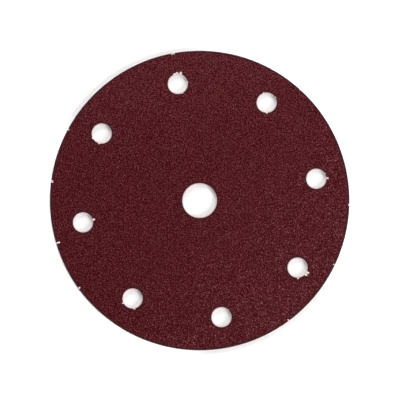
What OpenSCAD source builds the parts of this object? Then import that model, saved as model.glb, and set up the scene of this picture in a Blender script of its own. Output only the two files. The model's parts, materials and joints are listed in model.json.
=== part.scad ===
// Hook and loop sanding disc: a knitted loop fabric, a paper backing and a coat of
// abrasive grain, bonded face to face and punched through together with a ring of
// dust holes and a larger centre hole. The disc lies grain side up with its loops
// at z = 0 and its centre on the Z axis.

/* [Disc] */
// Diameter of the disc, across the punched edge of the paper
disc_d = 150; // [135:0.5:200]

/* [Layers] */
// Thickness of the loop fabric, from its loop tips to the paper
fabric_t = 0.85; // [0.5:0.05:2]
// Thickness of the paper backing
paper_t = 0.35; // [0.2:0.05:0.8]
// Thickness of the grain coat with the resin that holds it
coat_t = 0.3; // [0.2:0.05:0.6]

/* [Holes] */
// Number of dust holes in the ring
dust_count = 8; // [4:1:10]
// Diameter of each dust hole, in the paper
dust_d = 9.7; // [6:0.1:12]
// Distance from the rim to the middle of each dust hole
dust_rim = 15.7; // [12:0.1:30]
// Direction of the first dust hole, counted from +X
dust_start = 10.6; // [0:0.1:44.9]
// Diameter of the centre hole, in the paper
centre_d = 17; // [10:0.1:30]

/* [Punched edges] */
// How far the coat has crumbled back from every punched edge
coat_back = 0.2; // [0.05:0.05:0.4]
// Width of the coat's bevel, where the punch crushed its upper edge
coat_bevel = 0.12; // [0.05:0.01:0.18]
// Radius of the fabric's soft lower edge
fabric_roll = 0.2; // [0.1:0.05:0.4]
// How far the fabric's cut loops spring into each hole, past the paper
fabric_in = 0.35; // [0.2:0.05:0.6]

/* [Hidden] */
$fn = 144;
over = 1;
soft_steps = 3;

// Chips where the coat has flaked off the paper beside a dust hole: [number of the
// hole, direction of the chip from the middle of the hole, its pits]. Each pit is
// [place along the edge, reach past the edge, width].
HOLE_CHIPS = [
    [0, 3, [[0, 1, 0.9]]],
    [0, 32, [[0, 0.3, 0.6]]],
    [1, 271, [[0, 0.5, 0.9]]],
    [1, 107, [[0, 0.3, 0.7]]],
    [1, 30, [[0, 0.35, 0.6]]],
    [2, 91, [[-1.65, 1.2, 0.95], [-0.85, 0.3, 0.8], [0.3, 0.9, 1.4], [1.4, 0.55, 1.3]]],
    [2, 10, [[0, 0.25, 0.6]]],
    [2, 297, [[0, 0.35, 0.8]]],
    [3, 206, [[0, 0.45, 0.8]]],
    [3, 255, [[0, 0.45, 0.8]]],
    [4, 15.5, [[0, 1.15, 0.85]]],
    [5, 280, [[0, 0.6, 0.9]]],
    [5, 206, [[0, 0.75, 0.7]]],
    [6, 48, [[0, 0.25, 0.7]]],
    [7, 327, [[-0.7, 1.1, 1], [0, 0.75, 0.9], [0.65, 1.3, 0.95]]],
    [7, 273, [[0, 0.6, 0.9]]]
];

// Nicks in the coat along the rim: [direction from the middle of the disc, pits],
// each pit as above but reaching in from the rim.
RIM_NICKS = [
    [100.3, [[0.55, 0.75, 0.8], [-0.5, 0.6, 0.7]]],
    [151.6, [[0, 0.7, 0.8]]],
    [172.4, [[0, 0.7, 0.8], [0.6, 1.1, 0.45]]],
    [196.6, [[0, 2, 0.7]]],
    [216, [[0, 0.95, 0.75]]],
    [358.4, [[0, 0.5, 1]]],
    [47.8, [[0, 0.35, 0.7]]],
    [334.5, [[0, 0.9, 0.4]]],
    [306.6, [[0, 1.1, 0.4]]]
];

disc_r = disc_d / 2;
dust_ring_r = disc_r - dust_rim;
dust_r = dust_d / 2;
centre_r = centre_d / 2;

function dust_angle(i) = dust_start + i * 360 / dust_count;

// Places its child in the middle of dust hole i
module at_dust_hole(i) {
    rotate([0, 0, dust_angle(i)])
        translate([dust_ring_r, 0, 0])
            rotate([0, 0, -dust_angle(i)])
                children();
}

// Points of a rounded corner of radius e, in the given number of steps: how far
// each lies in from the wall and down from the face. One step is a plain bevel.
function corner(e, steps) =
    [for (i = [0 : steps]) [e - e * cos(i * 90 / steps), e - e * sin(i * 90 / steps)]];

// Half section of a layer without holes, its upper edge rounded
module blank_section(r, t, e, steps) {
    polygon(concat(
        [[0, 0], [r, 0]],
        [for (p = corner(e, steps)) [r - p[0], t - p[1]]],
        [[0, t]]));
}

// Half section of what a hole of radius r takes from that layer, with the
// rounding of the hole's upper edge
module hole_section(r, t, e, steps) {
    polygon(concat(
        [[0, -over], [r, -over]],
        [for (p = corner(e, steps)) [r + p[0], t - p[1]]],
        [[r + e, t + over], [0, t + over]]));
}

// A layer that fills z = 0 to t, its rim held back from the paper's by rim_back and
// its holes wider than the paper's by hole_back, with edges rounded at the top by e
module punched_layer(t, rim_back, hole_back, e, steps) {
    difference() {
        rotate_extrude()
            blank_section(disc_r - rim_back, t, e, steps);
        rotate_extrude()
            hole_section(centre_r + hole_back, t, e, steps);
        for (i = [0 : dust_count - 1])
            at_dust_hole(i)
                rotate_extrude()
                    hole_section(dust_r + hole_back, t, e, steps);
    }
}

// Outline of one pit of a chip that lies along +X, at an edge of radius edge: a
// round end, and where that lies mostly past the edge straight sides back to it.
// side is 1 for a chip that reaches outwards, as beside a hole, and -1 for one that
// reaches in from the rim.
module pit_outline(edge, side, along, reach, width) {
    brink = sqrt(edge * edge - along * along);
    pit = brink + side * (reach - width / 2);
    translate([pit, along])
        circle(d = width);
    if (reach > width / 2) {
        mouth = brink - side * coat_back;
        translate([min(pit, mouth), along - width / 2])
            square([abs(pit - mouth), width]);
    }
}

// Outline of a whole chip, of one pit or several, in its direction from the middle
module chip_outline(edge, side, direction, pits) {
    rotate([0, 0, direction])
        for (p = pits)
            pit_outline(edge, side, p[0], p[1], p[2]);
}

module hole_chips() {
    for (c = HOLE_CHIPS)
        if (c[0] < dust_count)
            at_dust_hole(c[0])
                chip_outline(dust_r + coat_back, 1, c[1], c[2]);
}

module rim_nicks() {
    for (n = RIM_NICKS)
        chip_outline(disc_r - coat_back, -1, n[0], n[1]);
}

module loop_fabric() {
    color("whitesmoke")
        translate([0, 0, fabric_t])
            mirror([0, 0, 1])
                punched_layer(fabric_t, 0, -fabric_in, fabric_roll, soft_steps);
}

module paper_backing() {
    color("antiquewhite")
        translate([0, 0, fabric_t])
            difference() {
                cylinder(h = paper_t, r = disc_r);
                translate([0, 0, -over])
                    cylinder(h = paper_t + 2 * over, r = centre_r);
                for (i = [0 : dust_count - 1])
                    at_dust_hole(i)
                        translate([0, 0, -over])
                            cylinder(h = paper_t + 2 * over, r = dust_r);
            }
}

module abrasive_coat() {
    color([0.33, 0.12, 0.14])
        translate([0, 0, fabric_t + paper_t])
            difference() {
                punched_layer(coat_t, coat_back, coat_back, coat_bevel, 1);
                translate([0, 0, -over])
                    linear_extrude(height = coat_t + 2 * over) {
                        hole_chips();
                        rim_nicks();
                    }
            }
}

loop_fabric();
paper_backing();
abrasive_coat();
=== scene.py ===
"""The looks of a hook and loop sanding disc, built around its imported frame.

The disc lies grain side up with its loops on the floor at z = 0. Lengths are metres, and
a name that ends in _mm holds millimetres, which MM turns into metres.
"""
import json
import logging
import math
from collections.abc import Callable, Iterable, Iterator
from contextlib import contextmanager
from dataclasses import dataclass
from enum import Enum

import bpy
import numpy as np
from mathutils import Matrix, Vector
from mathutils.bvhtree import BVHTree


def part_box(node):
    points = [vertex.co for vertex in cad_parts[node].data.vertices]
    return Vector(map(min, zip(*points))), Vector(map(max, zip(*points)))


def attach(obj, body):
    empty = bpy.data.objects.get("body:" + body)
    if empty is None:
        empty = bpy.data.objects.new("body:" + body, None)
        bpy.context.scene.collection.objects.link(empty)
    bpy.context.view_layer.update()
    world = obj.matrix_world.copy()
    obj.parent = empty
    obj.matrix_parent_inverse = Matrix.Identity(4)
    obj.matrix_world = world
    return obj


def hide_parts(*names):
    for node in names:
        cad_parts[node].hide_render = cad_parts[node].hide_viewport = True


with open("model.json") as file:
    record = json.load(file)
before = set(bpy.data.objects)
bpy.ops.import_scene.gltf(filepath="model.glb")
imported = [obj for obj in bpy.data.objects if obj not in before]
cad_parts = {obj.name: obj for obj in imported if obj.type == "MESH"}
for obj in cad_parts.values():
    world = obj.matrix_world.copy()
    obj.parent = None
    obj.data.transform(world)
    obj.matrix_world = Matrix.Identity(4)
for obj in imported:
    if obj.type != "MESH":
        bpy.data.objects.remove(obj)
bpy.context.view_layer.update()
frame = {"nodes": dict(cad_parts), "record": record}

MM = 0.001
WELD = 1e-7  # vertices closer than this become one
EDGE_MARK = "edge_mm"  # attribute: distance to the nearest punched edge of the coat
TONE_MARK = "tone"  # attribute: how far a strand is drawn to grey, from 0 to 1, at random on loops and as painted shade near the floor on edge filaments
log = logging.getLogger("sanding_disc")

Floats = np.ndarray
Piece = bpy.types.Object
Tree = bpy.types.NodeTree
Socket = bpy.types.NodeSocket
Colour = tuple[float, float, float, float]
Point = tuple[float, float, float]
Span = tuple[float, float]
WHITE = (1.0, 1.0, 1.0, 1.0)
DOWN = Vector((0, 0, -1))

# Settings that several nodes share
SMOOTH = {"interpolation_type": "SMOOTHSTEP"}
MIX = {"data_type": "RGBA"}
TIMES = {"operation": "MULTIPLY"}
LARGER = {"operation": "MAXIMUM"}
DOT = {"operation": "DOT_PRODUCT"}


class Layer(Enum):
    """The laminate's layers, by the names of their nodes in the frame."""

    FABRIC = "loop_fabric"
    PAPER = "paper_backing"
    COAT = "abrasive_coat"


class Slot(Enum):
    """The record's material slots."""

    LOOPS = "loops"
    PAPER = "paper"
    GRAIN = "grain"


# Node and colour helpers


def linear(colour: str) -> Colour:
    """Turns an sRGB hex colour into the linear one that a shader takes.

    Args:
        colour: six hex digits after a hash, such as "#55191f".

    Returns:
        Red, green, blue and an alpha of 1, in linear light.
    """
    shares = [int(colour[i : i + 2], 16) / 255 for i in (1, 3, 5)]
    bent = [s / 12.92 if s <= 0.04045 else ((s + 0.055) / 1.055) ** 2.4 for s in shares]
    return (*bent, 1.0)


def per_metre(size_mm: float) -> float:
    """The scale at which a texture repeats once in size_mm."""
    return 1 / (size_mm * MM)


def direction(angle: float) -> Point:
    """The unit vector along the floor at an angle in degrees from +X."""
    return (math.cos(math.radians(angle)), math.sin(math.radians(angle)), 0.0)


def add_node(tree: Tree, kind: str, settings: dict | None = None,
             *inputs: Socket | float | Point) -> bpy.types.Node:
    """Adds a node with its settings and links.

    Args:
        tree: the node tree that it goes into.
        kind: the node's type, such as "ShaderNodeTexNoise".
        settings: values by name. A lower-case name is a property of the node, and any
            other name or number is one of its inputs. A socket is linked to that input.
        inputs: values or sockets for its first inputs, in their order.

    Returns:
        The new node.
    """
    node = tree.nodes.new(kind)
    for key, value in {**(settings or {}), **dict(enumerate(inputs))}.items():
        if isinstance(key, str) and key.islower():
            setattr(node, key, value)
        elif isinstance(value, Socket):
            tree.links.new(value, node.inputs[key])
        else:
            node.inputs[key].default_value = value
    return node


def looking_rays(tree: Tree) -> Socket:
    """Tells the rays that look at a surface.

    Args:
        tree: the node tree that it goes into.

    Returns:
        1 for camera, glossy and transmission rays, and 0 for the light's own.
    """
    path = add_node(tree, "ShaderNodeLightPath").outputs
    seen = path["Is Camera Ray"]
    for kind in ("Is Glossy Ray", "Is Transmission Ray"):
        seen = add_node(tree, "ShaderNodeMath", LARGER, seen, path[kind]).outputs[0]
    return seen


@dataclass(frozen=True)
class Slope:
    """A share that changes in one direction across the disc."""

    angle: float  # degrees from +X
    reach_mm: Span  # from the middle to where the change starts and ends
    shares: Span  # before and after it

    def share(self, tree: Tree, place: Socket) -> Socket:
        """Works out the share at each place.

        Args:
            tree: the material's nodes.
            place: Object coordinates, in metres.

        Returns:
            The socket with the share.
        """
        way = direction(self.angle)
        along = add_node(tree, "ShaderNodeVectorMath", DOT, place, way).outputs["Value"]
        reach = (reach_mm * MM for reach_mm in self.reach_mm)
        return add_node(tree, "ShaderNodeMapRange", SMOOTH, along, *reach, *self.shares).outputs[0]


# Finishes, each named for the real material


@dataclass(frozen=True)
class Finish:
    """What all finishes share."""

    name: str
    roughness: float

    def material(self) -> bpy.types.Material:
        """Makes the material, with its colours and relief from paint().

        Returns:
            The new material.
        """
        material = bpy.data.materials.new(self.name)
        material.use_nodes = True
        tree = material.node_tree
        shader = tree.nodes["Principled BSDF"]
        shader.inputs["Roughness"].default_value = self.roughness
        self.paint(tree, shader, add_node(tree, "ShaderNodeTexCoord").outputs["Object"])
        return material

    def paint(self, tree: Tree, shader: bpy.types.Node, place: Socket) -> None:
        """Links the finish's colours and relief to its shader.

        Args:
            tree: the material's nodes.
            shader: its Principled BSDF.
            place: Object coordinates, in metres.
        """
        raise NotImplementedError

    def relief(self, tree: Tree, shader: bpy.types.Node, height: Socket, depth_mm: float) -> None:
        """Links a height from 0 to 1 to the shader as a bump of depth_mm."""
        bump = add_node(tree, "ShaderNodeBump", {"Distance": depth_mm * MM, "Height": height})
        tree.links.new(bump.outputs["Normal"], shader.inputs["Normal"])


@dataclass(frozen=True)
class ResinedAlumina(Finish):
    """Crushed brown alumina under a dark red phenolic size coat, as cured on a web line.

    The eye gets a matt, gritty maroon in which each grain has its own tone, from nearly
    black pits to pale pinkish facets that the resin has left uncovered. Tones are raised
    towards the right as painted light and towards the top, and painted glints stand as
    a few pale specks towards the lower right. Along the punched edges a nearly black line
    is painted shade. Grains, clumps and specks are drawn as coarse as they need to be to show.
    """

    name: str = "resined_alumina"
    roughness: float = 0.6
    gloss: float = 0.012  # the shader's specular level
    pit: str = "#340b0e"
    body: str = "#511018"
    facet: str = "#7e4349"
    # painted shade: the nearly black line along the punched edges
    crushed: str = "#392428"
    painted_edge_shade_mm: Span = (0.2, 1.5)  # distances from the edge where it fades
    painted_edge_shade_cover: float = 0.85
    grain_mm: float = 0.25
    dome_span: Span = (0.0, 0.7)  # from a grain's middle, in grains
    dome_mm: float = 0.05
    clump_mm: float = 0.68
    clump_span: Span = (0.15, 0.7)  # from a clump's middle, in clumps
    clump_share: Span = (1.35, 0.45)  # of the tone, there and between clumps
    cloud_mm: float = 24.0
    cloud_detail: float = 2.0
    cloud_span: Span = (0.38, 0.62)
    warm: str = "#fffbf9"
    cool: str = "#fdfeff"
    # painted light: tones raised towards the right
    painted_light_to_right: Slope = Slope(-3.0, (-75.0, 75.0), (0.95, 1.06))
    # tones raised towards the top
    lighter_to_top: Slope = Slope(105.0, (25.0, 72.0), (1.0, 1.19))
    # painted glints: pale specks, more of them towards the lower right
    painted_glint: str = "#a8686f"
    painted_glint_mm: float = 0.3
    dull: Slope = Slope(-45.0, (0.0, 75.0), (0.998, 0.963))  # the rest of it gets painted glints

    def paint(self, tree: Tree, shader: bpy.types.Node, place: Socket) -> None:
        """Gives each grain its tone, then adds painted glints, clouds and the painted edge shade.

        Args:
            tree: the material's nodes.
            shader: its Principled BSDF.
            place: Object coordinates.
        """
        grains, clumps, specks = (
            add_node(tree, "ShaderNodeTexVoronoi",
                     {"voronoi_dimensions": "2D", "Vector": place, "Scale": per_metre(width)}).outputs
            for width in (self.grain_mm, self.clump_mm, self.painted_glint_mm)
        )
        colour = self.grain_colour(tree, place, grains["Color"], clumps["Distance"])
        # Painted glints on a share of the speck cells that grows towards the lower right.
        lot = add_node(tree, "ShaderNodeSeparateColor", {0: specks["Color"]}).outputs["Green"]
        more = {"operation": "GREATER_THAN"}
        painted_glint = add_node(tree, "ShaderNodeMath", more, lot, self.dull.share(tree, place)).outputs[0]
        speckled = {0: painted_glint, 6: colour, 7: linear(self.painted_glint)}
        colour = add_node(tree, "ShaderNodeMix", MIX | speckled).outputs[2]
        clouds = {"Vector": place, "Scale": per_metre(self.cloud_mm), "Detail": self.cloud_detail}
        cloud = add_node(tree, "ShaderNodeTexNoise", clouds).outputs[0]
        cloud = add_node(tree, "ShaderNodeMapRange", SMOOTH, cloud, *self.cloud_span).outputs[0]
        tints = {0: cloud, 6: linear(self.warm), 7: linear(self.cool)}
        tint = add_node(tree, "ShaderNodeMix", MIX | tints).outputs[2]
        clouded = {"blend_type": "MULTIPLY", 0: 1.0, 6: colour, 7: tint}
        colour = add_node(tree, "ShaderNodeMix", MIX | clouded).outputs[2]
        # Painted shade: a nearly black line along the punched edges, fading with distance from them.
        edge = add_node(tree, "ShaderNodeAttribute", {"attribute_name": EDGE_MARK}).outputs["Fac"]
        fade = (*self.painted_edge_shade_mm, self.painted_edge_shade_cover, 0.0)
        crushed = add_node(tree, "ShaderNodeMapRange", SMOOTH, edge, *fade).outputs[0]
        edge_shaded = {0: crushed, 6: colour, 7: linear(self.crushed)}
        colour = add_node(tree, "ShaderNodeMix", MIX | edge_shaded).outputs[2]
        tree.links.new(colour, shader.inputs["Base Color"])
        shader.inputs["Specular IOR Level"].default_value = self.gloss
        fall = (*self.dome_span, 1.0, 0.0)
        dome = add_node(tree, "ShaderNodeMapRange", SMOOTH, grains["Distance"], *fall).outputs[0]
        self.relief(tree, shader, dome, self.dome_mm)

    def grain_colour(self, tree: Tree, place: Socket, draw: Socket, away: Socket) -> Socket:
        """The colour of each grain, from pit to facet.

        Args:
            tree: the material's nodes.
            place: Object coordinates.
            draw: each grain's own random colour.
            away: the distance from a clump's middle.

        Returns:
            The socket with the colour.
        """
        tone = add_node(tree, "ShaderNodeSeparateColor", {0: draw}).outputs["Red"]
        ends = (*self.clump_span, *self.clump_share)
        clump = add_node(tree, "ShaderNodeMapRange", SMOOTH, away, *ends).outputs[0]
        # The tone follows the clumps, and is raised towards the right as painted light and towards the top.
        for share in (clump, self.painted_light_to_right.share(tree, place), self.lighter_to_top.share(tree, place)):
            tone = add_node(tree, "ShaderNodeMath", TIMES, tone, share).outputs[0]
        ramp = add_node(tree, "ShaderNodeValToRGB", {0: tone})
        stops = ramp.color_ramp.elements
        stops[0].color = linear(self.pit)
        stops[1].color = linear(self.facet)
        stops.new(0.5).color = linear(self.body)
        return ramp.outputs[0]


@dataclass(frozen=True)
class BackingPaper(Finish):
    """Heavy latex-treated paper, calendered, with resin soaked in from the coat.

    The eye gets a warm, slightly pink off-white with short fibres in it.
    """

    name: str = "backing_paper"
    roughness: float = 0.85
    sheet: str = "#feeae8"
    soaked: str = "#f8d5d3"
    patch_mm: float = 2.2
    patch_span: Span = (0.45, 0.75)
    fibre_mm: float = 0.3
    depth_mm: float = 0.06
    detail: float = 4.0  # how ragged patches and fibres are

    def paint(self, tree: Tree, shader: bpy.types.Node, place: Socket) -> None:
        """Mottles the sheet with soaked patches and gives it short fibres.

        Args:
            tree: the material's nodes.
            shader: its Principled BSDF.
            place: Object coordinates.
        """
        patch, fibres = (
            add_node(tree, "ShaderNodeTexNoise",
                     {"Vector": place, "Scale": per_metre(width), "Detail": self.detail}).outputs[0]
            for width in (self.patch_mm, self.fibre_mm)
        )
        patch = add_node(tree, "ShaderNodeMapRange", SMOOTH, patch, *self.patch_span).outputs[0]
        sheets = {0: patch, 6: linear(self.sheet), 7: linear(self.soaked)}
        colour = add_node(tree, "ShaderNodeMix", MIX | sheets).outputs[2]
        tree.links.new(colour, shader.inputs["Base Color"])
        self.relief(tree, shader, fibres, self.depth_mm)


TORN_PAPER = BackingPaper("torn_paper", sheet="#ffeeec", soaked="#fddcd9")


@dataclass(frozen=True)
class BrushedNylon(Finish):
    """Warp-knitted nylon, brushed so that its loops stand up for the pad's hooks.

    The eye gets a soft white with a slight sheen at glancing angles, and filaments
    that differ a little in tone; loose filaments at the edges get painted shade that
    deepens towards the floor. Next to the paper the laminating glue has soaked in
    and gives them its pinkish tint.
    """

    name: str = "brushed_nylon"
    roughness: float = 0.75
    filament: str = "#fbf6f4"
    # grey that strands vary towards at random, and painted shade near the floor
    shade: str = "#cdc4c1"
    glued: str = "#fbdfde"
    glue_mm: Span = (0.4, 0.75)  # the heights between which the glue sets in
    strand_mm: float = 0.12
    depth_mm: float = 0.02
    detail: float = 1.0
    sheen: float = 0.25

    def paint(self, tree: Tree, shader: bpy.types.Node, place: Socket) -> None:
        """Varies the filaments' tone, including painted shade near the floor, tints the glued ones and
        gives all fine strands.

        Args:
            tree: the material's nodes.
            shader: its Principled BSDF.
            place: Object coordinates.
        """
        tone = add_node(tree, "ShaderNodeAttribute", {"attribute_name": TONE_MARK}).outputs["Fac"]
        tones = {0: tone, 6: linear(self.filament), 7: linear(self.shade)}
        colour = add_node(tree, "ShaderNodeMix", MIX | tones).outputs[2]
        height = add_node(tree, "ShaderNodeSeparateXYZ", {0: place}).outputs["Z"]
        reach = (edge_mm * MM for edge_mm in self.glue_mm)
        glue = add_node(tree, "ShaderNodeMapRange", SMOOTH, height, *reach).outputs[0]
        tinted = {0: glue, 6: colour, 7: linear(self.glued)}
        colour = add_node(tree, "ShaderNodeMix", MIX | tinted).outputs[2]
        tree.links.new(colour, shader.inputs["Base Color"])
        shader.inputs["Sheen Weight"].default_value = self.sheen
        strands = {"Vector": place, "Scale": per_metre(self.strand_mm), "Detail": self.detail}
        strand_height = add_node(tree, "ShaderNodeTexNoise", strands).outputs[0]
        self.relief(tree, shader, strand_height, self.depth_mm)


@dataclass(frozen=True)
class WhiteSweep(Finish):
    """Seamless white paper that the disc lies on, as in a cut-out product picture.

    Its diffuse white takes the disc's shadow. What a camera or a reflection sees gets a
    little light of its own, so that the open paper is pure white. Round the rim it gets
    more, a painted light that washes out the disc's shadow there, but least to both sides
    along the shadow's direction, where the disc's soft shadow stays.
    """

    name: str = "white_sweep"
    roughness: float = 1.0
    sheet: str = "#f8f8f8"
    lift: float = 0.155  # light that it adds all over
    painted_rim_light: float = 0.45  # painted light that it adds round the rim and beyond, washing out the disc's shadow
    beside_mm: Span = (74.4, 75.4)  # radii where that sets in beside the shadow
    beyond_mm: Span = (76.0, 79.0)  # radii where it sets in everywhere
    shadow_angle: float = 119.0
    shadow_half: float = 31.0  # degrees to each side
    shadow_soft: float = 0.12  # added to its cosine and taken off it

    def paint(self, tree: Tree, shader: bpy.types.Node, place: Socket) -> None:
        """Sets the paper's white and what it adds for rays that only look at it.

        Args:
            tree: the material's nodes.
            shader: its Principled BSDF.
            place: Object coordinates.
        """
        shader.inputs["Base Color"].default_value = linear(self.sheet)
        shader.inputs["Specular IOR Level"].default_value = 0.0
        shader.inputs["Emission Color"].default_value = WHITE
        light = add_node(tree, "ShaderNodeMath", {}, self.painted_rim_lighting(tree, place), self.lift).outputs[0]
        light = add_node(tree, "ShaderNodeMath", TIMES, light, looking_rays(tree)).outputs[0]
        tree.links.new(light, shader.inputs["Emission Strength"])

    def painted_rim_lighting(self, tree: Tree, place: Socket) -> Socket:
        """The painted light that is added round the rim and beyond to wash out the disc's shadow, except
        where the shadow stays.

        Args:
            tree: the material's nodes.
            place: Object coordinates, in metres.

        Returns:
            The socket with its strength.
        """
        radius = add_node(tree, "ShaderNodeVectorMath", {"operation": "LENGTH"}, place).outputs["Value"]
        way = direction(self.shadow_angle)
        along = add_node(tree, "ShaderNodeVectorMath", DOT, place, way).outputs["Value"]
        share = add_node(tree, "ShaderNodeMath", {"operation": "DIVIDE"}, along, radius).outputs[0]
        share = add_node(tree, "ShaderNodeMath", {"operation": "ABSOLUTE"}, share).outputs[0]
        half = math.cos(math.radians(self.shadow_half))
        ends = (half - self.shadow_soft, half + self.shadow_soft)
        shaded = add_node(tree, "ShaderNodeMapRange", SMOOTH, share, *ends).outputs[0]
        clear = add_node(tree, "ShaderNodeMapRange", SMOOTH, shaded, 0.0, 1.0, 1.0, 0.0).outputs[0]
        beside, beyond = (
            add_node(tree, "ShaderNodeMapRange", SMOOTH, radius, *(r * MM for r in radii)).outputs[0]
            for radii in (self.beside_mm, self.beyond_mm)
        )
        near = add_node(tree, "ShaderNodeMath", TIMES, beside, clear).outputs[0]
        where = add_node(tree, "ShaderNodeMath", LARGER, near, beyond).outputs[0]
        return add_node(tree, "ShaderNodeMath", TIMES, where, self.painted_rim_light).outputs[0]


# Modelling helpers


def deselect_all() -> None:
    """Leaves no object selected."""
    for item in bpy.context.selected_objects:
        item.select_set(False)


def make_active(piece: Piece) -> None:
    """Selects one piece alone and makes it the active one.

    Args:
        piece: the piece.
    """
    deselect_all()
    piece.select_set(True)
    bpy.context.view_layer.objects.active = piece


@contextmanager
def editing(piece: Piece) -> Iterator[None]:
    """Edit mode on one piece, with all of its mesh selected.

    Args:
        piece: the piece, which is in object mode again afterwards.

    Yields:
        Once, in edit mode.
    """
    make_active(piece)
    bpy.ops.object.mode_set(mode="EDIT")
    bpy.ops.mesh.select_all(action="SELECT")
    yield
    bpy.ops.object.mode_set(mode="OBJECT")


def settle(piece: Piece) -> None:
    """Puts a piece's place, turn and scale into its mesh."""
    make_active(piece)
    bpy.ops.object.transform_apply(location=True, rotation=True, scale=True)


def points_of(piece: Piece) -> Floats:
    """Reads where a piece's vertices are.

    Args:
        piece: the piece.

    Returns:
        Their places, one row each.
    """
    places = np.empty(len(piece.data.vertices) * 3, np.float64)
    piece.data.vertices.foreach_get("co", places)
    return places.reshape(-1, 3)


def set_points(piece: Piece, places: Floats) -> None:
    """Moves the piece's vertices to these places."""
    piece.data.vertices.foreach_set("co", places.astype(np.float32).ravel())
    piece.data.update()


def clip_heights(piece: Piece, low: float = -math.inf, high: float = math.inf) -> None:
    """Moves whatever of a piece lies below low or above high to that height.

    Args:
        piece: the piece.
        low: the lower limit, if it has one.
        high: the upper limit, if it has one.
    """
    places = points_of(piece)
    places[:, 2] = np.clip(places[:, 2], low, high)
    set_points(piece, places)


def mark(piece: Piece, name: str, values: Floats) -> None:
    """Stores one number for each vertex in an attribute of the mesh."""
    attribute = piece.data.attributes.new(name, "FLOAT", "POINT")
    attribute.data.foreach_set("value", values.astype(np.float32))


def face_tree(mesh: bpy.types.Mesh, faces: Iterable[bpy.types.MeshPolygon]) -> BVHTree:
    """These faces of a mesh as a tree that answers which one is near or in a ray's way."""
    return BVHTree.FromPolygons([tuple(v.co) for v in mesh.vertices], [list(f.vertices) for f in faces])


def merged_copy(layer: Layer, name: str) -> Piece:
    """Copies a layer of the frame as one closed mesh, its loose triangles merged.

    Args:
        layer: the layer.
        name: the copy's name.

    Returns:
        The copy.
    """
    node = frame["nodes"][layer.value]
    piece = bpy.data.objects.new(name, node.data.copy())
    bpy.context.scene.collection.objects.link(piece)
    with editing(piece):
        bpy.ops.mesh.remove_doubles(threshold=WELD)
    return piece


def keep_common(piece: Piece, form: Piece) -> None:
    """Cuts a piece to what it has in common with a form.

    Args:
        piece: the piece.
        form: the form, which is removed afterwards.
    """
    make_active(piece)
    cut = piece.modifiers.new("cut", "BOOLEAN")
    cut.operation = "INTERSECT"
    cut.solver = "MANIFOLD"
    cut.object = form
    bpy.ops.object.modifier_apply(modifier=cut.name)
    bpy.data.objects.remove(form)


def relief_slab(name: str, side: float, grid: tuple[int, int], face_z: float, back_z: float,
                shape: Callable[[Floats], Floats]) -> Piece:
    """Models a square slab with relief on one face.

    Args:
        name: the piece's name.
        side: the length of its sides.
        grid: how many cells the face has along X and Y.
        face_z: the height of the face before it is shaped.
        back_z: the height of the flat back, above or below the face.
        shape: gives the face's new points for its flat ones.

    Returns:
        The closed slab.
    """
    deselect_all()
    bpy.ops.mesh.primitive_grid_add(
        x_subdivisions=grid[0], y_subdivisions=grid[1], size=side, location=(0, 0, face_z)
    )
    piece = bpy.context.object
    piece.name = piece.data.name = name
    settle(piece)
    set_points(piece, shape(points_of(piece)))
    with editing(piece):
        bpy.ops.mesh.region_to_loop()
        bpy.ops.mesh.extrude_edges_move(TRANSFORM_OT_translate={"value": (0, 0, back_z - face_z)})
    edge = points_of(piece)
    on_face = (grid[0] + 1) * (grid[1] + 1)
    edge[on_face:, 2] = back_z
    set_points(piece, edge)
    with editing(piece):
        bpy.ops.mesh.select_all(action="DESELECT")
        bpy.ops.mesh.select_non_manifold()
        bpy.ops.mesh.edge_face_add()
        bpy.ops.mesh.select_all(action="SELECT")
        bpy.ops.mesh.normals_make_consistent(inside=False)
    return piece


def turns(angle: Floats, first: int, second: int) -> Floats:
    """Makes matrices that turn one axis towards another.

    Args:
        angle: how far each of them turns, in radians.
        first: the number of the axis that is turned.
        second: the number of the axis that it is turned towards.

    Returns:
        One matrix for each angle.
    """
    matrix = np.tile(np.eye(3), (len(angle), 1, 1))
    matrix[:, first, first] = matrix[:, second, second] = np.cos(angle)
    matrix[:, first, second] = -np.sin(angle)
    matrix[:, second, first] = np.sin(angle)
    return matrix


def turned(places: Floats, tilt: Floats, lean: Floats, spin: Floats) -> Floats:
    """Turns copies of a shape, each by its own angles.

    Args:
        places: one shape's points, or one set of points for each copy.
        tilt: each copy's turn about X, then
        lean: its turn about Y, then
        spin: its turn about Z, in radians.

    Returns:
        Points by copy, vertex and axis.
    """
    turn = turns(spin, 0, 1) @ turns(lean, 2, 0) @ turns(tilt, 1, 2)
    return places @ np.swapaxes(turn, 1, 2)


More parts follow.
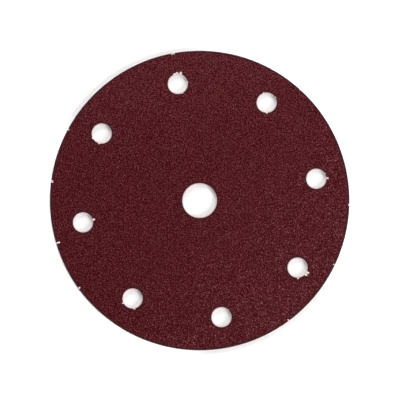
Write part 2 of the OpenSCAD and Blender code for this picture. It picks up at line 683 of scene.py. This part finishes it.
def copies(name: str, models: list[Piece], choice: Floats, sizes: Floats,
           angles: tuple[Floats, Floats, Floats], places: Floats,
           marks: dict[str, Floats] | None = None) -> Piece:
    """Joins many turned and scaled copies of a few modelled shapes into one piece.

    Args:
        name: the piece's name.
        models: the shapes, which are removed afterwards.
        choice: which of them each copy takes.
        sizes: each copy's size along X, Y and Z.
        angles: each copy's tilt, lean and spin, in radians.
        places: where each copy stands.
        marks: values for attributes, one for each copy.

    Returns:
        The joined piece.
    """
    points, corners, totals, owners = [], [], [], []
    used = 0
    for kind, model in enumerate(models):
        mine = np.flatnonzero(choice == kind)
        shape = points_of(model)
        faces = [list(face.vertices) for face in model.data.polygons]
        bodies = turned(shape[None] * sizes[mine, None], *(angle[mine] for angle in angles))
        points.append((bodies + places[mine, None]).reshape(-1, 3))
        owners.append(np.repeat(mine, len(shape)))
        first = used + np.arange(len(mine)) * len(shape)
        corners.append((np.concatenate(faces)[None] + first[:, None]).ravel())
        totals.append(np.tile([len(face) for face in faces], len(mine)))
        used += len(mine) * len(shape)
        bpy.data.objects.remove(model)
    totals = np.concatenate(totals)
    corners = np.concatenate(corners)
    mesh = bpy.data.meshes.new(name)
    mesh.vertices.add(used)
    mesh.loops.add(len(corners))
    mesh.polygons.add(len(totals))
    mesh.vertices.foreach_set("co", np.concatenate(points).astype(np.float32).ravel())
    mesh.loops.foreach_set("vertex_index", corners.astype(np.int32))
    mesh.polygons.foreach_set("loop_start", (np.cumsum(totals) - totals).astype(np.int32))
    mesh.update(calc_edges=True)
    piece = bpy.data.objects.new(name, mesh)
    bpy.context.scene.collection.objects.link(piece)
    for key, values in (marks or {}).items():
        mark(piece, key, values[np.concatenate(owners)])
    return piece


def strand(thick_mm: float, curl: float) -> Piece:
    """Models one strand that lies along X from the origin.

    Args:
        thick_mm: its thickness, in millimetres, for copies scaled by MM across it.
        curl: how far its far end turns up, as a share of its unit length.

    Returns:
        The closed strand.
    """
    deselect_all()
    bpy.ops.mesh.primitive_cylinder_add(
        vertices=3, radius=0.5, depth=1, end_fill_type="TRIFAN",
        rotation=(0, math.pi / 2, 0), location=(0.5, 0, 0),
    )
    piece = bpy.context.object
    settle(piece)
    with editing(piece):
        bpy.ops.mesh.bisect(plane_co=(0.5, 0, 0), plane_no=(1, 0, 0))
    spots = points_of(piece)
    spots[:, 1:] *= thick_mm
    spots[:, 2] += curl * spots[:, 0] ** 2
    set_points(piece, spots)
    return piece


def hand_over(piece: Piece, finish: bpy.types.Material, slot: Slot, *layers: Layer) -> None:
    """Dresses a finished piece and puts it in the frame.

    Args:
        piece: the piece, at rest and at its real place.
        finish: its material.
        slot: the record's slot for its finish; not used.
        layers: the layers of the frame that it stands for.
    """
    piece.data.materials.clear()
    piece.data.materials.append(finish)
    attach(piece, "root")
    if layers:
        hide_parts(*(layer.value for layer in layers))
    piece.data.calc_loop_triangles()
    log.info("%s: %d triangles", piece.name, len(piece.data.loop_triangles))


# The disc


@dataclass(frozen=True)
class Punching:
    """Where the punch cut the disc, as the frame gives it."""

    rim: float
    holes: Floats  # in the fabric, each as x, y and radius
    coat_inset: float = 0.6 * MM  # past these, the coat's plain edge ends
    rim_slack: float = 0.06 * MM  # in from its rim, the coat's plain edge ends

    @classmethod
    def of_frame(cls) -> "Punching":
        """Reads the rim from the paper's box and the holes from the bore mounts.

        Returns:
            The punching.
        """
        bores = [m for m in frame["record"]["mounts"] if m["kind"] == "bore"]
        holes = [[*m["pos_m"][:2], m["dims"]["r_mm"] * MM] for m in bores]
        return cls(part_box(Layer.PAPER.value)[1].x, np.array(holes))

    @property
    def blank(self) -> float:
        """Side of the square blank that a layer is cut from, 1 mm over all round."""
        return 2 * self.rim + 2 * MM

    def inside(self, places: Floats, margin: float) -> Floats:
        """Tells which places lie on the disc.

        Args:
            places: points, one row each, of which x and y count.
            margin: how far from its rim and holes that is at least.

        Returns:
            True for each place that does.
        """
        on_disc = np.hypot(places[:, 0], places[:, 1]) < self.rim - margin
        for x, y, radius in self.holes:
            on_disc &= np.hypot(places[:, 0] - x, places[:, 1] - y) > radius + margin
        return on_disc

    def on_edge(self, places: Floats) -> Floats:
        """Tells which places lie on the coat's plain punched edge, clear of its chips.

        Args:
            places: points on the coat's walls, one row each.

        Returns:
            True for each place that does.
        """
        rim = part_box(Layer.COAT.value)[1].x - self.rim_slack
        on_edge = np.hypot(places[:, 0], places[:, 1]) > rim
        for x, y, radius in self.holes:
            on_edge |= np.hypot(places[:, 0] - x, places[:, 1] - y) < radius + self.coat_inset
        return on_edge


@dataclass(frozen=True)
class Shard:
    """One form of crushed grain, of unit size."""

    sides: int
    top: float  # its width, as a share of the base's
    skew: Span  # how far the top is pushed over
    share: float  # of all shards
    ragged: float = 0.12  # how far corners are moved at random

    def model(self, seed: int) -> Piece:
        """Models it with its middle at the origin.

        Args:
            seed: where the random numbers of its corners start.

        Returns:
            The closed shard.
        """
        deselect_all()
        bpy.ops.mesh.primitive_cone_add(vertices=self.sides, radius1=0.5, radius2=0.5 * self.top, depth=1.0)
        piece = bpy.context.object
        with editing(piece):
            bpy.ops.mesh.select_all(action="DESELECT")
            bpy.ops.object.mode_set(mode="OBJECT")
            for vertex in piece.data.vertices:
                vertex.select = vertex.co.z > 0
            for face in piece.data.polygons:
                face.select = all(piece.data.vertices[v].select for v in face.vertices)
            bpy.ops.object.mode_set(mode="EDIT")
            bpy.ops.transform.translate(value=(*self.skew, 0))
            bpy.ops.mesh.select_all(action="SELECT")
            bpy.ops.transform.vertex_random(offset=self.ragged, seed=seed + self.sides)
        return piece


@dataclass
class GrainCoat:
    """The coat of grain: a rough bed of resin and small grains, and larger shards on it.

    Both are coarser than real grain, so that they show.
    """

    punching: Punching
    cell_mm: float = 0.43
    shift: float = 0.36  # how far the corners of cells move aside, in cells
    relief_mm: float = 0.17
    relief_power: float = 1.3  # how rare deep pits are
    spare_mm: float = 0.5  # how far the bed's blank goes below the coat
    upright: float = 0.2  # the most that the normal of a wall rises
    shards: int = 17000
    shard_mm: float = 0.46
    size_share: Span = (0.75, 1.25)
    shard_lean: float = 0.45  # standard deviation, in radians
    clear_share: float = 0.75  # distance from walls, in shards
    far_mm: float = 9.0  # the edge distance that shards are given, past the dark line
    forms: tuple[Shard, ...] = (
        Shard(4, 0.6, (0.2, 0.08), 0.3),
        Shard(3, 0.55, (0.15, 0.06), 0.4),
        Shard(3, 0.3, (0.3, 0.12), 0.3),
    )
    seed: int = 11

    def build(self) -> None:
        """Builds the bed and the shards that stand on it."""
        finish = ResinedAlumina().material()
        bed = self.bed(self.walls(chips=False))
        shards = self.scatter(bed, self.walls(chips=True))
        hand_over(bed, finish, Slot.GRAIN, Layer.COAT)
        hand_over(shards, finish, Slot.GRAIN)

    def walls(self, chips: bool) -> BVHTree:
        """The coat's upright walls, for measuring how far away they are.

        Args:
            chips: whether the walls of the chips are among them, or only the punched ones.

        Returns:
            The walls as a tree of faces.
        """
        mesh = frame["nodes"][Layer.COAT.value].data
        walls = [face for face in mesh.polygons if abs(face.normal.z) < self.upright]
        if not chips:
            punched = self.punching.on_edge(np.array([face.center[:] for face in walls]))
            walls = [face for face, kept in zip(walls, punched) if kept]
        return face_tree(mesh, walls)

    @staticmethod
    def edge_distance(places: Floats, walls: BVHTree) -> Floats:
        """Measures how far places lie from the coat's walls, seen from above.

        Args:
            places: points, one row each, of which x and y count.
            walls: the walls.

        Returns:
            Each place's distance to the nearest wall, in millimetres.
        """
        middle = sum(corner.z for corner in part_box(Layer.COAT.value)) / 2
        found = [walls.find_nearest((x, y, middle))[3] for x, y in places[:, :2]]
        return np.array(found) / MM

    def bed(self, walls: BVHTree) -> Piece:
        """Models the rough bed, cut to the coat's own outline and thickness.

        Args:
            walls: the punched walls, to which each vertex gets its distance.

        Returns:
            The closed bed.
        """
        low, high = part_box(Layer.COAT.value)
        draw = np.random.default_rng(self.seed)

        def roughen(flat: Floats) -> Floats:
            """The flat face's points, moved aside and down at random.

            Args:
                flat: the flat points, one row each.

            Returns:
                The rough ones.
            """
            aside = draw.uniform(-self.shift, self.shift, (len(flat), 2)) * self.cell_mm * MM
            down = draw.random(len(flat)) ** self.relief_power * self.relief_mm * MM
            return flat + np.column_stack([aside, -down])

        side = self.punching.blank
        across = round(side / (self.cell_mm * MM))
        back = low.z - self.spare_mm * MM
        piece = relief_slab("grain_bed", side, (across, across), high.z, back, roughen)
        keep_common(piece, merged_copy(Layer.COAT, "coat_outline"))
        mark(piece, EDGE_MARK, self.edge_distance(points_of(piece), walls))
        return piece

    def scatter(self, bed: Piece, walls: BVHTree) -> Piece:
        """Stands the shards on the bed, clear of the punched edges and the chips.

        Args:
            bed: the bed.
            walls: all the walls that the shards stay clear of.

        Returns:
            The shards as one piece.
        """
        draw = np.random.default_rng(self.seed + 1)
        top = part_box(Layer.COAT.value)[1].z
        reach = self.punching.rim
        tries = draw.uniform(-reach, reach, (2 * self.shards, 2))
        tries = tries[self.punching.inside(tries, self.shard_mm * MM)]
        clear = self.edge_distance(tries, walls) > self.clear_share * self.shard_mm
        surface = face_tree(bed.data, bed.data.polygons)
        hits = [surface.ray_cast((x, y, top + MM), DOWN)[0] for x, y in tries[clear][: self.shards]]
        places = np.array([hit[:] for hit in hits if hit])
        count = len(places)
        size = self.shard_mm * MM * draw.uniform(*self.size_share, (count, 1))
        sizes = size * draw.uniform(*self.size_share, (count, 3))
        places[:, 2] = np.minimum(places[:, 2], top - 0.5 * sizes[:, 2])
        tilt, lean = (draw.normal(0, self.shard_lean, count) for _ in range(2))
        spin = draw.uniform(0, math.tau, count)
        models = [form.model(self.seed) for form in self.forms]
        choice = draw.choice(len(models), count, p=[form.share for form in self.forms])
        marks = {EDGE_MARK: np.full(count, self.far_mm)}
        piece = copies("grain_shards", models, choice, sizes, (tilt, lean, spin), places, marks)
        clip_heights(piece, high=top)
        return piece


@dataclass
class Backing:
    """The frame's own paper, with split plies and fibres torn up where the coat is gone."""

    punching: Punching
    scraps_per_mm2: float = 24.0
    search_mm: float = 2.1  # how far from the edge of the coat there are scraps
    ply_share: float = 0.9  # of the scraps; the others are fibres
    ply_mm: Span = (0.45, 0.26)  # width and height
    ply_vary: Span = (0.75, 1.25)
    ply_aspect: Span = (0.7, 1.1)  # depth by width
    ply_ragged: float = 0.07
    fibre_mm: Span = (0.3, 0.6)
    fibre_rise: Span = (0.3, 0.8)  # height, as a share of the coat's thickness
    thick_mm: float = 0.06  # real fibres are half of this, too fine to show
    curl: float = 0.2
    lean: float = 0.25  # standard deviation, in radians
    seed: int = 37

    def build(self) -> None:
        """Dresses the frame's own paper and tears it up in the chips."""
        node = frame["nodes"][Layer.PAPER.value]
        node.data.materials.clear()
        node.data.materials.append(BackingPaper().material())
        log.info("%s: dressed", node.name)
        hand_over(self.torn_paper(), TORN_PAPER.material(), Slot.PAPER)

    def bared(self, draw: np.random.Generator) -> Floats:
        """Draws places near the rim and the dust holes where the coat leaves the paper uncovered.

        Args:
            draw: the generator for the random numbers.

        Returns:
            The places' x and y, one row each.
        """
        mesh = frame["nodes"][Layer.COAT.value].data
        coat = face_tree(mesh, mesh.polygons)
        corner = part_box(Layer.COAT.value)[1]
        inset, reach = self.punching.coat_inset, self.search_mm * MM
        rings = [(0.0, 0.0, corner.x - reach, corner.x)]
        rings += [(x, y, r + inset, r + inset + reach) for x, y, r in self.punching.holes]
        found = []
        for x, y, inner, outer in rings:
            count = round(math.pi * (outer**2 - inner**2) / MM**2 * self.scraps_per_mm2)
            radius = np.sqrt(draw.uniform(inner**2, outer**2, count))
            angle = draw.uniform(0, math.tau, count)
            tries = zip(x + radius * np.cos(angle), y + radius * np.sin(angle))
            found += [(a, b) for a, b in tries if coat.ray_cast((a, b, corner.z + MM), DOWN)[0] is None]
        return np.array(found)

    def ply(self) -> Piece:
        """Models one scrap of a split ply, of unit size, about the origin.

        Returns:
            The closed scrap.
        """
        deselect_all()
        bpy.ops.mesh.primitive_cone_add(vertices=6, radius1=0.55, radius2=0.4, depth=1.0)
        piece = bpy.context.object
        with editing(piece):
            bpy.ops.transform.vertex_random(offset=self.ply_ragged, seed=self.seed)
        return piece

    def torn_paper(self) -> Piece:
        """Covers the bared paper with scraps of split plies and a few loose fibres.

        Returns:
            The scraps as one piece.
        """
        draw = np.random.default_rng(self.seed)
        spots = self.bared(draw)
        count = len(spots)
        low, high = (corner.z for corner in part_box(Layer.COAT.value))
        is_ply = draw.random(count) < self.ply_share
        width, height = (size * MM * draw.uniform(*self.ply_vary, count) for size in self.ply_mm)
        length = draw.uniform(*self.fibre_mm, count) * MM
        plies = np.column_stack([width, width * draw.uniform(*self.ply_aspect, count), height])
        fibres = np.column_stack([length, np.full(count, MM), np.full(count, MM)])
        sizes = np.where(is_ply[:, None], plies, fibres)
        fibre_rise = draw.uniform(*self.fibre_rise, count) * (high - low)
        places = np.column_stack([spots, low + np.where(is_ply, 0.5 * height, fibre_rise)])
        tilt, lean = (draw.normal(0, self.lean, count) for _ in range(2))
        spin = draw.uniform(0, math.tau, count)
        models = [self.ply(), strand(self.thick_mm, self.curl)]
        choice = np.where(is_ply, 0, 1)
        piece = copies("torn_paper", models, choice, sizes, (tilt, lean, spin), places)
        clip_heights(piece, low, high)
        return piece


@dataclass
class LoopFabric:
    """The loop fabric: a ribbed knit ground, loops that hang from it, and loose filaments.

    Wales, courses and yarns are a little coarser than real ones, so that they show and
    stay within the triangle limit.
    """

    punching: Punching
    ground_mm: float = 0.36  # height of its underside
    ground_rows: int = 12
    wale_cells: int = 4
    ground_tone: float = 0.3
    wale_mm: float = 1.6
    course_mm: float = 1.45
    rib_mm: float = 0.1
    loop_mm: float = 0.62
    yarn_mm: float = 0.12  # a bundle of filaments, each too fine to show
    loop_gap_mm: float = 0.04  # how far inside the ground loops start
    stray_mm: float = 0.18
    clear_mm: float = 0.6  # between loops and the punched edges
    loop_height: Span = (0.8, 1.15)
    loop_width: Span = (0.7, 1.1)  # as a share of its height
    brushed: float = 0.95  # how far loops are laid over, in radians
    loop_turn: tuple[float, float, float] = (0.3, 0.2, 0.8)  # standard deviations
    loop_tone: float = 0.6
    per_mm: float = 4.5  # loose filaments by length of edge
    filament_mm: float = 0.06
    long_mm: Span = (0.25, 0.6)
    root_mm: float = 0.1  # how far inside the edge they start
    root_z_mm: Span = (0.15, 0.8)
    free_turn: tuple[float, float, float] = (0.5, 0.3, 0.5)  # standard deviations
    curls: Span = (0.25, -0.2)
    painted_floor_shade: float = 1.3  # tone of the painted shade at the floor, 1 less for each fade height above it
    # the fade height of that painted shade
    painted_shade_fade_mm: float = 0.6
    seed: int = 23

    def build(self) -> None:
        """Builds the ground, the loops and the loose filaments."""
        finish = BrushedNylon().material()
        hand_over(self.ground(), finish, Slot.LOOPS, Layer.FABRIC)
        hand_over(self.pile("front_bar_loops", 0.0, self.seed), finish, Slot.LOOPS)
        hand_over(self.pile("back_bar_loops", 0.5, self.seed + 2), finish, Slot.LOOPS)
        hand_over(self.edge_filaments(), finish, Slot.LOOPS)

    def ground(self) -> Piece:
        """Models the knit ground, with its wales as ribs on the underside.

        Returns:
            The closed ground.
        """
        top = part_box(Layer.FABRIC.value)[1].z
        side = self.punching.blank
        grid = (self.wale_cells * round(side / (self.wale_mm * MM)), self.ground_rows)

        def rib(flat: Floats) -> Floats:
            """The flat face's points, raised and lowered by the ribs."""
            rise = np.cos(flat[:, 0] * math.tau / (self.wale_mm * MM)) * self.rib_mm / 2 * MM
            return flat + np.column_stack([np.zeros((len(flat), 2)), rise])

        piece = relief_slab("knit_ground", side, grid, self.ground_mm * MM, top + MM, rib)
        keep_common(piece, merged_copy(Layer.FABRIC, "fabric_outline"))
        mark(piece, TONE_MARK, np.full(len(piece.data.vertices), self.ground_tone))
        return piece

    def loop(self) -> Piece:
        """Models one loop of unit height that hangs from z = 0 down to z = -1.

        Returns:
            The closed loop.
        """
        deselect_all()
        thick = self.yarn_mm / self.loop_mm / 2
        bpy.ops.mesh.primitive_torus_add(
            major_segments=8, minor_segments=3, major_radius=1 - thick, minor_radius=thick,
            rotation=(math.pi / 2, 0, math.pi / 8),
        )
        piece = bpy.context.object
        settle(piece)
        with editing(piece):
            bpy.ops.mesh.bisect(plane_co=(0, 0, 0), plane_no=(0, 0, 1), clear_outer=True, use_fill=True)
        return piece

    def pile(self, name: str, shift: float, seed: int) -> Piece:
        """Hangs one guide bar's loops from the ground in rows, brushed over to one side.

        Args:
            name: the piece's name.
            shift: how far its rows lie along the wales, as a share of a course.
            seed: where its random numbers start.

        Returns:
            The loops as one piece.
        """
        draw = np.random.default_rng(seed)
        reach, wale, course = self.punching.rim, self.wale_mm * MM, self.course_mm * MM
        across, rows = np.meshgrid(np.arange(-reach, reach, wale), np.arange(-reach, reach, course))
        across[::2] += wale / 2
        places = np.column_stack([across.ravel(), rows.ravel() + shift * course, np.zeros(across.size)])
        places[:, :2] += draw.normal(0, self.stray_mm, (len(places), 2)) * MM
        places = places[self.punching.inside(places, self.clear_mm * MM)]
        count = len(places)
        places[:, 2] = (self.ground_mm + self.loop_gap_mm) * MM
        height = self.loop_mm * MM * draw.uniform(*self.loop_height, count)
        sizes = np.column_stack([height * draw.uniform(*self.loop_width, count), height, height])
        means = (self.brushed, 0.0, 0.0)
        angles = tuple(draw.normal(mean, by, count) for mean, by in zip(means, self.loop_turn))
        marks = {TONE_MARK: self.loop_tone * draw.random(count)}
        piece = copies(name, [self.loop()], np.zeros(count, int), sizes, angles, places, marks)
        clip_heights(piece, low=0.0)
        return piece

    def edge_filaments(self) -> Piece:
        """Springs loose filaments out of the fabric's rim and holes.

        Returns:
            The filaments as one piece.
        """
        draw = np.random.default_rng(self.seed + 1)
        tilt_by, lean_by, spin_by = self.free_turn
        rings = [(0.0, 0.0, self.punching.rim, 1.0), *((x, y, r, -1.0) for x, y, r in self.punching.holes)]
        places, spins = [], []
        for x, y, radius, out in rings:
            count = round(math.tau * radius / MM * self.per_mm)
            angle = draw.uniform(0, math.tau, count)
            root = radius - out * self.root_mm * MM
            height = draw.uniform(*self.root_z_mm, count) * MM
            places.append(np.column_stack([x + root * np.cos(angle), y + root * np.sin(angle), height]))
            spins.append(angle + (0 if out > 0 else math.pi) + draw.normal(0, spin_by, count))
        places = np.concatenate(places)
        count = len(places)
        length = draw.uniform(*self.long_mm, count) * MM
        sizes = np.column_stack([length, np.full(count, MM), np.full(count, MM)])
        angles = (draw.normal(0, tilt_by, count), draw.normal(0, lean_by, count), np.concatenate(spins))
        models = [strand(self.filament_mm, curl) for curl in self.curls]
        choice = draw.integers(0, len(models), count)
        # Painted shade: filaments darker towards the floor.
        tone = np.clip(self.painted_floor_shade - places[:, 2] / (self.painted_shade_fade_mm * MM), 0, 1)
        piece = copies("edge_filaments", models, choice, sizes, angles, places, {TONE_MARK: tone})
        clip_heights(piece, low=0.0)
        return piece


# The studio


@dataclass(frozen=True)
class Lamp:
    """A square softbox that shines at the disc."""

    name: str
    azimuth: float  # degrees from +X
    elevation: float  # degrees
    distance: float  # from the disc's middle
    side: float
    power: float  # watts

    def build(self) -> None:
        """Hangs the softbox in its place, turned to the disc."""
        around, up = math.radians(self.azimuth), math.radians(self.elevation)
        toward = Vector((math.cos(up) * math.cos(around), math.cos(up) * math.sin(around), math.sin(up)))
        turn = toward.to_track_quat("Z", "Y").to_euler()
        deselect_all()
        bpy.ops.object.light_add(type="AREA", location=toward * self.distance, rotation=turn)
        lamp = bpy.context.object
        lamp.name = lamp.data.name = self.name
        lamp.data.size = self.side
        lamp.data.energy = self.power


@dataclass
class Studio:
    """The white sweep, the light and the camera straight above the disc."""

    disc_px: Span = (199.15, 200.05)  # its middle in the photograph
    frame_px: int = 400
    mm_per_px: float = 0.49965
    height: float = 1.0
    sensor_mm: float = 36.0
    clip: float = 0.01  # how near to the camera things show
    sweep: float = 6.0  # length of the paper's sides
    sky: float = 0.1  # strength of the even light
    lamps: tuple[Lamp, ...] = (
        Lamp("right_softbox", -40, 24, 1.6, 0.6, 25.9),
        Lamp("far_softbox", 110, 24, 1.6, 0.6, 21.8),
        Lamp("fill_softbox", 42, 50, 1.5, 0.75, 3.9),
    )

    def build(self) -> None:
        """Builds the floor, the lamps, the sky and the camera."""
        self.floor()
        for lamp in self.lamps:
            lamp.build()
        self.world()
        self.camera()

    def floor(self) -> None:
        """Lays the white sweep under the disc."""
        deselect_all()
        bpy.ops.mesh.primitive_plane_add(size=self.sweep, location=(0, 0, 0))
        floor = bpy.context.object
        floor.name = floor.data.name = "white_sweep"
        floor.data.materials.append(WhiteSweep().material())

    def world(self) -> None:
        """Fills in evenly from all round, and is white wherever it is looked at."""
        world = bpy.data.worlds.new("studio")
        bpy.context.scene.world = world
        world.use_nodes = True
        tree = world.node_tree
        looks = looking_rays(tree)
        strength = add_node(tree, "ShaderNodeMapRange", SMOOTH, looks, 0.0, 1.0, self.sky, 1.0).outputs[0]
        background = tree.nodes["Background"]
        background.inputs["Color"].default_value = WHITE
        tree.links.new(strength, background.inputs["Strength"])

    def camera(self) -> None:
        """Sets the camera so that the disc lies where the photograph has it."""
        middle = (self.frame_px - 1) / 2
        x = (middle - self.disc_px[0]) * self.mm_per_px * MM
        y = (self.disc_px[1] - middle) * self.mm_per_px * MM
        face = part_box(Layer.COAT.value)[1].z
        deselect_all()
        bpy.ops.object.camera_add(location=(x, y, self.height), rotation=(0, 0, 0))
        camera = bpy.context.object
        camera.name = "camera"
        camera.data.sensor_width = self.sensor_mm
        camera.data.lens = self.sensor_mm * (self.height - face) / (self.frame_px * self.mm_per_px * MM)
        camera.data.clip_start = self.clip
        bpy.context.scene.camera = camera


def main() -> None:
    """Builds the disc from the floor up, then the studio around it."""
    logging.basicConfig(level=logging.INFO, format="%(name)s: %(message)s")
    bpy.context.scene.view_settings.view_transform = "Standard"
    punching = Punching.of_frame()
    LoopFabric(punching).build()
    Backing(punching).build()
    GrainCoat(punching).build()
    Studio().build()


if __name__ == "__main__":
    main()
